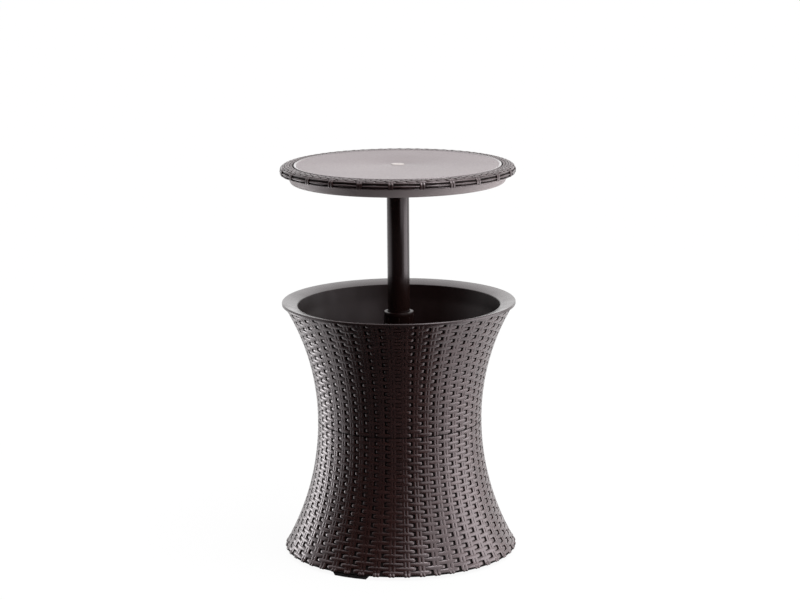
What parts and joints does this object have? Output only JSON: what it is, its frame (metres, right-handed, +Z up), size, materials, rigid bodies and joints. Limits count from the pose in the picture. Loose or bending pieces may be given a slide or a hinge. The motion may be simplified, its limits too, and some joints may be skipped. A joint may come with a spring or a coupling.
{
  "type": "ice bucket coffee table",
  "caption": "Waisted woven-look drinks table with an open ice tub and a round top that slides up and down on a twist-locked column.",
  "frame": {"origin": "on the floor under the middle of the body, on the column's axis", "axes": "+Z up along the column; the front, which faces the viewer, is -Y; +X to the right as seen from the front"},
  "size_m": [0.4974, 0.4974, 0.8342],
  "materials": {
    "woven_plastic": "moulded basket weave, satin, dark espresso brown",
    "lid_plastic": "smooth, half gloss",
    "tub_plastic": "smooth, half gloss",
    "column_plastic": "smooth, glossy",
    "disc_plastic": "fine grained, matt",
    "cap_plastic": "fine grained, satin",
    "foot_plastic": "matt",
    "inner_plastic": "as moulded",
    "rubber": "soft, matt",
    "steel": "plain"
  },
  "bodies": {
    "body": {"column_back_plate": "inner_plastic", "column_collet": "inner_plastic", "column_end_cap": "inner_plastic", "column_foot_flange": "column_plastic", "column_gasket": "rubber", "column_outer_tube": "column_plastic", "drain_fitting": "inner_plastic", "drain_gasket": "rubber", "drain_nut": "inner_plastic", "flange_grub_screw_1": "steel", "flange_grub_screw_2": "steel", "flange_screw_1": "steel", "flange_screw_2": "steel", "flange_screw_3": "steel", "flange_screw_4": "steel", "foot_pad_1": "foot_plastic", "foot_pad_2": "foot_plastic", "foot_pad_3": "foot_plastic", "foot_screw_1_left": "steel", "foot_screw_1_right": "steel", "foot_screw_2_left": "steel", "foot_screw_2_right": "steel", "foot_screw_3_left": "steel", "foot_screw_3_right": "steel", "inner_tub": "tub_plastic", "lower_body_shell": "woven_plastic", "upper_body_shell": "woven_plastic"},
    "collar": {"column_twist_collar": "column_plastic"},
    "table": {"column_moving_tube": "column_plastic", "glide_sleeve": "inner_plastic", "glide_pin": "steel", "table_lid": "lid_plastic", "table_woven_ring": "woven_plastic", "table_disc": "disc_plastic", "centre_cap": "cap_plastic", "centre_bolt": "steel", "tube_top_plug": "inner_plastic", "column_socket": "inner_plastic", "socket_grub_screw_1": "steel", "socket_grub_screw_2": "steel", "socket_screw_1": "steel", "socket_screw_2": "steel", "socket_screw_3": "steel", "socket_screw_4": "steel"},
    "drain_plug": {"drain_plug": "rubber"}
  },
  "joints": [
    {"name": "table_slide", "type": "slide", "parent": "body", "child": "table", "axis": [0, 0, 1], "range_m": [-0.26, 0]},
    {"name": "collar_twist", "type": "hinge", "parent": "body", "child": "collar", "pos_m": [0, 0, 0.5], "axis": [0, 0, 1], "range_deg": [0, 60]},
    {"name": "drain_plug_lift", "type": "slide", "parent": "body", "child": "drain_plug", "axis": [0, 0, 1], "range_m": [0, 0.04]}
  ]
}
